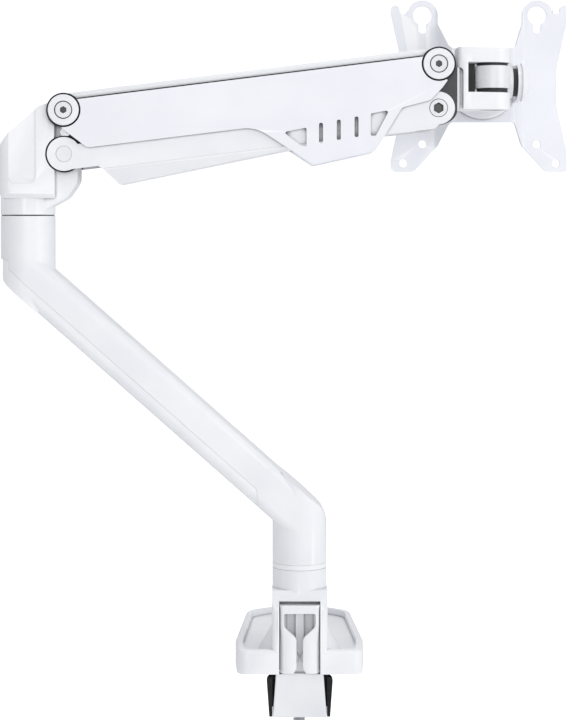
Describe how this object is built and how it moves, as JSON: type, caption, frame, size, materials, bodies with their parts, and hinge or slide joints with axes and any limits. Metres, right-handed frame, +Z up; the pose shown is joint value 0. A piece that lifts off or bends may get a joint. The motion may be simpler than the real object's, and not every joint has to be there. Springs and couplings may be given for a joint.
{
  "type": "monitor arm",
  "caption": "Desk-clamp monitor arm with a dog-leg lower arm, a spring-balanced parallelogram upper arm, and a swivelling, tilting, turning screen plate.",
  "frame": {"origin": "underside of the base, on the axis that the lower arm swivels about", "axes": "+Z up, +X along the folded arm towards the screen end, +Y over the desk, away from its edge"},
  "size_m": [0.3608, 0.1324, 0.4866],
  "materials": {
    "white_coat": "satin white powder coat on cast aluminium and steel",
    "plate_coat": "smooth white powder coat on flat steel sheet",
    "satin_coat": "satin pale coat on a turned barrel",
    "white_plastic": "fine-textured white moulded plastic",
    "coated_steel": "white coated bolt heads and pins",
    "steel": "bright zinc-plated steel",
    "spring_steel": "oiled spring steel",
    "dark_metal": "dark phosphated steel",
    "black_rubber": "matt black rubber",
    "black_plastic": "black acetal and nylon",
    "grey_foam": "dark grey closed-cell foam"
  },
  "bodies": {
    "base": {"base_casting": "white_coat", "base_pad": "grey_foam", "base_spindle": "steel", "base_bearing": "white_plastic", "base_snap_ring": "spring_steel", "cable_clip": "white_plastic", "clamp_bolts": "steel"},
    "clamp_frame": {"clamp_bracket": "white_coat", "clamp_bumper": "black_rubber"},
    "clamp_foot": {"clamp_pad": "steel", "clamp_rubber": "black_rubber"},
    "clamp_drive": {"clamp_screw": "steel", "clamp_knob": "black_plastic"},
    "lower_arm": {"lower_arm_casting": "white_coat", "lower_arm_cover": "white_plastic", "base_lock_screw": "steel", "elbow_spindle": "steel", "elbow_bearing": "black_plastic", "elbow_snap_ring": "spring_steel"},
    "elbow": {"elbow_post": "white_coat", "elbow_lock_screw": "steel", "elbow_hubs": "white_coat", "elbow_upper_bolt": "coated_steel", "elbow_lower_pin": "coated_steel", "spring_anchor_pin": "steel"},
    "upper_arm": {"upper_channel": "white_coat", "side_plate_near": "plate_coat", "side_plate_far": "plate_coat", "screw_block": "dark_metal", "upper_bushes": "black_plastic"},
    "tension_drive": {"tension_screw": "steel"},
    "spring_stop": {"spring_nut": "dark_metal"},
    "spring_guide": {"spring_eye": "dark_metal", "lift_spring": "spring_steel"},
    "lower_link_body": {"lower_link": "white_coat", "lower_link_cover": "white_plastic", "link_cover_screws": "steel", "lower_bushes": "black_plastic"},
    "head": {"head_bracket": "white_coat", "swivel_pin": "coated_steel", "swivel_nut": "steel", "swivel_washers": "black_plastic", "head_hubs": "white_coat", "head_upper_bolt": "coated_steel", "head_lower_bolt": "coated_steel"},
    "knuckle": {"swivel_knuckle": "satin_coat", "tilt_washers": "black_plastic"},
    "yoke": {"tilt_yoke": "white_coat", "tilt_caps": "white_plastic", "tilt_bolt": "steel", "tilt_nut": "steel"},
    "screen_mount": {"screen_plate": "plate_coat", "friction_washer": "black_plastic", "spin_bolt": "coated_steel", "spin_nut": "steel"}
  },
  "joints": [
    {"name": "bracket_height", "type": "slide", "parent": "base", "child": "clamp_frame", "axis": [0, 0, 1], "range_m": [-0.027, 0]},
    {"name": "clamp_travel", "type": "slide", "parent": "clamp_frame", "child": "clamp_foot", "axis": [0, 0, 1], "range_m": [0, 0.012]},
    {"name": "clamp_turn", "type": "hinge", "parent": "clamp_foot", "child": "clamp_drive", "pos_m": [0, 0.03, -0.03], "axis": [0, 0, 1], "range_deg": [0, 2470]},
    {"name": "base_swivel", "type": "hinge", "parent": "base", "child": "lower_arm", "pos_m": [0, 0, 0.0653], "axis": [0, 0, 1], "range_deg": [-180, 180]},
    {"name": "elbow_swivel", "type": "hinge", "parent": "lower_arm", "child": "elbow", "pos_m": [-0.1673, 0, 0.2793], "axis": [0, 0, 1], "range_deg": [-180, 180]},
    {"name": "arm_lift", "type": "hinge", "parent": "elbow", "child": "upper_arm", "pos_m": [-0.1431, 0, 0.3427], "axis": [0, -1, 0], "range_deg": [-42, 33]},
    {"name": "link_swing", "type": "hinge", "parent": "elbow", "child": "lower_link_body", "pos_m": [-0.1431, 0, 0.3161], "axis": [0, -1, 0], "range_deg": [-42, 33]},
    {"name": "head_level", "type": "hinge", "parent": "upper_arm", "child": "head", "pos_m": [0.08409, 0, 0.3706], "axis": [0, -1, 0], "range_deg": [-33, 42]},
    {"name": "spring_slide", "type": "slide", "parent": "upper_arm", "child": "spring_guide", "axis": [0.9925, 0, 0.1219], "range_m": [-0.0072, 0.0091], "deforming": ["lift_spring"]},
    {"name": "spring_preload", "type": "slide", "parent": "upper_arm", "child": "spring_stop", "axis": [0.9925, 0, 0.1219], "range_m": [-0.006, 0.006]},
    {"name": "tension_turn", "type": "hinge", "parent": "upper_arm", "child": "tension_drive", "pos_m": [0.0429, 0, 0.35405], "axis": [0.9925, 0, 0.1219], "range_deg": [-1730, 1730]},
    {"name": "head_swivel", "type": "hinge", "parent": "head", "child": "knuckle", "pos_m": [0.11859, 0, 0.363], "axis": [0, 0, 1], "range_deg": [-180, 0]},
    {"name": "head_tilt", "type": "hinge", "parent": "knuckle", "child": "yoke", "pos_m": [0.11859, 0.032, 0.363], "axis": [1, 0, 0], "range_deg": [-40, 40]},
    {"name": "plate_spin", "type": "hinge", "parent": "yoke", "child": "screen_mount", "pos_m": [0.11859, 0.0562, 0.363], "axis": [0, 1, 0], "range_deg": [-90, 90]}
  ],
  "couplings": [
    {"joint": "clamp_turn", "follows": "clamp_travel", "rad_per_m": 3590.4},
    {"joint": "link_swing", "follows": "arm_lift", "ratio": 1},
    {"joint": "head_level", "follows": "arm_lift", "ratio": -1},
    {"joint": "spring_slide", "follows": "arm_lift", "m_per_rad": -0.01225},
    {"joint": "tension_turn", "follows": "spring_preload", "rad_per_m": 5026.5}
  ]
}
